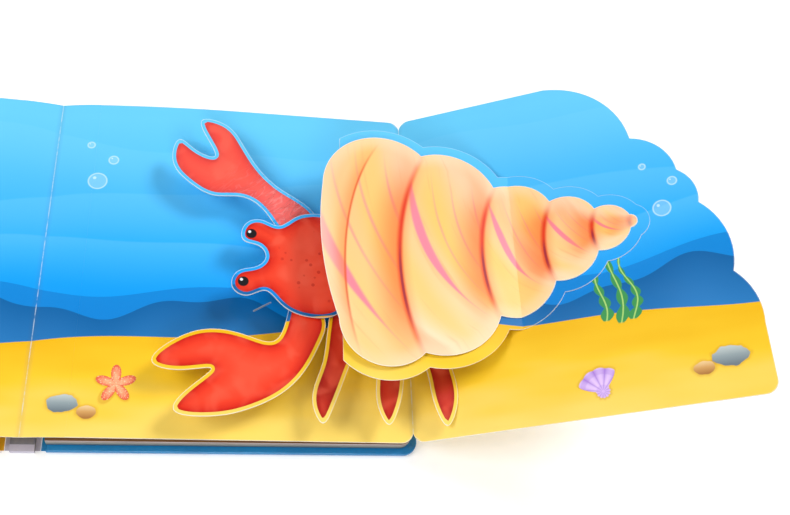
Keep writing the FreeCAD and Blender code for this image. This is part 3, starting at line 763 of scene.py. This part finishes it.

# %% [markdown]
# The crab is printed in one red with soft modelling: darker towards the outline, lighter where the
# form swells. The background goes on round it as a margin, which is why a claw over the water has
# a blue rim and a leg over the sand a yellow one. The upper claw's film has fine wrinkles. A pale
# pink painted sheen lies over its arm, and the wrinkles' crests are whitened, partly as stressed
# film and partly as painted sheen. The legs are printed darker, as painted shade under the shell.


# %% The crab's print
MARGIN, SWELL = 1.8, 12                     # millimetres of rim, and from there to the lightest red
REDS = ((0.0, (196, 22, 8)), (0.14, (228, 44, 22)), (0.4, (244, 64, 36)), (1.0, (250, 84, 56)))
EYES = (((-80.2, 8.8), 2.6), ((-83.5, -17.6), 2.6))


def wrinkles(finish, to_tips, across_arm):
    """The height of the crumpled film, which fades from the arm towards the claw's tips."""
    fold = finish.noise(finish.vector(across_arm * 0.07, to_tips * 0.24), 0.9, 1.0, 1.2)
    return finish.rise(abs(fold - 0.5), 0.06, 0.0) * finish.rise(to_tips, 150, 85)


def crab_print(name, shade=1.0, eyes=(), spots=False, crumpled=False):
    """Red picture with the background as its margin. A shade under 1 darkens the whole red; on the
    legs this is painted shade.
    """
    finish = Finish(name)
    along, across, rim = finish.printed()
    inside = rim - MARGIN
    red = finish.ramp(inside * (1 / SWELL), [(place, ink(*(part * shade for part in tone)))
                                             for place, tone in REDS])
    mottle = finish.noise(finish.vector(along, across), 0.09, 1.0, 0.4)
    red = finish.over(finish.rise(mottle, 0.45, 0.7) * 0.35, red, ink(255, 108, 80))
    if spots:
        dots = finish.add("ShaderNodeTexVoronoi", None,
                          {"Vector": finish.vector(along, across), "Scale": 0.22}, "Distance")
        red = finish.over(finish.rise(dots, 0.24, 0.14) * finish.rise(inside, 4, 7) * 0.55, red,
                          ink(196, 30, 22))
    folds = 0.0
    # crumpled gives the film's wrinkles and a painted sheen over the arm
    if crumpled:
        to_tips = across - along
        folds = wrinkles(finish, to_tips, along + across)
        # painted sheen: a pale pink over the arm, strongest at its root, for light the wrinkled film
        # reflects
        painted_sheen = finish.rise(to_tips, 140, 80) * 0.4 + 0.2
        red = finish.over(painted_sheen, red, ink(255, 128, 128))
        # whitened wrinkle crests: partly stressed film, partly painted sheen
        red = finish.over(folds * 0.3, red, ink(255, 170, 168))
    for middle, radius in eyes:
        far, _ = polar(finish, along, across, middle)
        red = finish.over(finish.rise(far, radius + 0.25, radius - 0.25), red, ink(22, 20, 24))
        shine, _ = polar(finish, along, across, (middle[0] - 0.9, middle[1] + 1.0))
        red = finish.over(finish.rise(shine, 0.95, 0.5), red, ink(236, 244, 250))
    colour = finish.over(finish.rise(inside, -0.15, 0.15), sea(finish, along, across), red)
    colour = finish.over(finish.rise(rim, *RIM_LINE) * 0.5, colour, ink(244, 248, 246))
    return laminate(finish, colour, 0.26, 0.6, 1.3, folds * 0.3)


upper_print = crab_print("printed upper claw", crumpled=True)
lower_print = crab_print("printed lower claw")
head_print = crab_print("printed head", 0.98, EYES, True)
# painted shade: the legs' red is darkened because they lie under the shell
body_print = crab_print("printed legs", 0.84)

# %% [markdown]
# The backing card carries the same background as the page, so that it disappears when the flap is
# folded in. Only its cut edge gives it away.

# %% The backing's print
backing = Finish("printed backing")
along, across, rim = backing.printed()
field = sea(backing, along, across)
field = backing.over(backing.rise(rim, 0.35, 0.1) * 0.3, field, ink(246, 248, 240))
backing_print = laminate(backing, field)

# %% [markdown]
# Every raised card is now a copy of its solid with a print. The places along the page are counted
# from the fold with the flap unfolded, so each card starts at its own crease.

# %% The raised cards
CARD_GRID, CLAW_GRID = 2.0, 1.5             # millimetres between the cuts of the grid


def from_crease(crease):
    """Gives the printed place on a card that is level up to its crease and leans past it."""
    bend = crease * math.cos(FLAP_RISE)

    def where(point):
        seen = in_page(point)
        past = seen.x - bend
        return crease + (past / math.cos(FLAP_RISE) if past > 0 else past), seen.y
    return where


def flat(point):
    """The printed place on a card that lies level with the page."""
    seen = in_page(point)
    return seen.x, seen.y


for node, slot, top, where, spacing in (
        ("shell_backing", "margin_print", backing_print, from_crease(SHELL_CREASE), CARD_GRID),
        ("shell_front", "shell_print", shell_print, from_crease(SHELL_CREASE), CARD_GRID),
        ("crab_body", "red_print", body_print, from_crease(BODY_CREASE), CLAW_GRID),
        ("upper_claw", "red_print", upper_print, flat, CLAW_GRID),
        ("lower_claw", "red_print", lower_print, flat, CLAW_GRID),
        ("crab_head", "red_print", head_print, flat, CLAW_GRID)):
    dress_card(node, "back_half", top, where, spacing)

# %% [markdown]
# The covers are boards wrapped in glossy paper. The paper has a faint grain from the board under
# it, and its colour is a little cloudy. The spine's strip is a plain lilac grey.


# %% Cover papers and linings
def wrapped(name, dark, light, roughness, film):
    """Printed paper glued over board."""
    finish = Finish(name)
    place = finish.place()
    cloud = finish.noise(place, 24.0, 3.0)
    grain = finish.noise(place, 520.0, 3.0, 0.4)
    colour = finish.ramp(cloud * 0.7 + grain * 0.3, [(0.3, dark), (0.7, light)])
    return finish.surface(colour, roughness + grain * 0.1, grain * 0.5 + cloud, 0.10 * MM,
                          **{"Coat Weight": film, "Coat Roughness": 0.2, "IOR": 1.46})


FINISHES = {
    "back_cover_paper": wrapped("teal cover paper", ink(0, 112, 172), ink(0, 138, 198), 0.3, 0.5),
    "front_cover_paper": wrapped("yellow cover paper", ink(232, 166, 20), ink(248, 188, 44), 0.3,
                                 0.5),
    "spine_paper": wrapped("lilac spine paper", ink(186, 180, 198), ink(204, 198, 214), 0.45, 0.2),
    "back_lining": wrapped("navy lining paper", ink(30, 52, 92), ink(48, 74, 116), 0.5, 0.1),
    "front_lining": wrapped("ochre lining paper", ink(150, 108, 40), ink(176, 132, 58), 0.5, 0.1),
    "spine_lining": wrapped("grey lining paper", ink(120, 118, 128), ink(146, 144, 152), 0.6, 0.0),
}

# %% [markdown]
# Each leaf of the book is a sheet of card, printed on both sides and trimmed with the others. At
# the trimmed edge its core shows, a different tone for each leaf, with dark ink at its faces. The
# height above the table says which leaf a point belongs to, and it is kept as an attribute before
# the leaves settle: under the sagging sheet they lie lower too, which also leaves the sheet room
# to bend down when the book closes.


# %% The stack of leaves
STACK_LOW, STACK_HIGH, LEAVES = 2.85, 8.9, 4    # millimetres above the table, and the count
SETTLE, LEAF_GRID = 0.7, 8.0                # share of the sheet's sag, and the grid's spacing
LEAF_TONES = (ink(96, 116, 128), ink(150, 156, 144), ink(176, 164, 158), ink(200, 186, 182))


def leaf_stack(name, shaded_top_tone):
    """The trimmed edges of a stack, and the top of its top leaf: a dark brown tone, partly its print
    and partly painted shade of the gap under the sheet.
    """
    finish = Finish(name)
    place = finish.place()
    height = (finish.printed()[0] - STACK_LOW) * (LEAVES / (STACK_HIGH - STACK_LOW))
    fibres = finish.noise(place, 640.0, 3.0, 0.5)
    streaks = finish.noise(finish.vector(finish.part(place, 0) * 30.0, finish.part(place, 1) * 30.0,
                                         finish.part(place, 2) * 2600.0), 1.0, 2.0)
    colour = LEAF_TONES[0]
    for number, tone in enumerate(LEAF_TONES[1:], start=1):
        colour = finish.over(finish.rise(height, number - 0.06, number + 0.02), colour, tone)
    colour = finish.over(finish.rise(streaks, 0.45, 0.75) * 0.35, colour, ink(110, 96, 88))
    within = height.math("FRACT")
    ink_line = finish.rise(abs(within - 0.5), 0.30, 0.42) * 0.55
    colour = finish.over(ink_line, colour, ink(84, 70, 66))
    # painted shade: the top of the stack is dark brown, as it shows only in the gap under the sheet
    colour = finish.over(finish.rise(height, 3.97, 3.99), colour, shaded_top_tone)
    return finish.surface(colour, 0.6 + fibres * 0.2, fibres, 0.08 * MM)


def leaf_height(point):
    """What is kept on the leaves in place of a printed place."""
    return point.z / MM, 0.0


def settled(node, body, finish):
    """Replaces a stack by a copy whose leaves lie lower where the sheet above them sags."""
    form = gridded(node, LEAF_GRID)
    thing = new_piece("settled_" + node, form)
    keep_print(thing, None, leaf_height)
    for vertex in thing.data.vertices:
        share = (vertex.co.z / MM - STACK_LOW) / (STACK_HIGH - STACK_LOW)
        vertex.co.z -= SETTLE * share * sag(vertex.co)
    stand_in(thing, node, body, (finish,))


# partly print, partly painted shade of the dark gap under the sheet
SHADED_LEAF_TOP = ink(132, 92, 58)
settled("right_pages", "back_half", leaf_stack("right leaves", SHADED_LEAF_TOP))
settled("left_pages", "front_half", leaf_stack("left leaves", SHADED_LEAF_TOP))

# %% [markdown]
# What is left are the model's own nodes: the papers, the boards inside them and the plain strips.
# Their shapes are right as they are, so they only get their finishes.

# %% Finishes of the other nodes
for node in ("back_board", "front_board", "spine_board"):
    FINISHES[node] = greyboard
for node in ("shell_tab", "head_spacer", "body_strut", "shell_strut"):
    FINISHES[node] = strip_card
for node, finish in FINISHES.items():
    NODES[node].data.materials.clear()
    NODES[node].data.materials.append(finish)
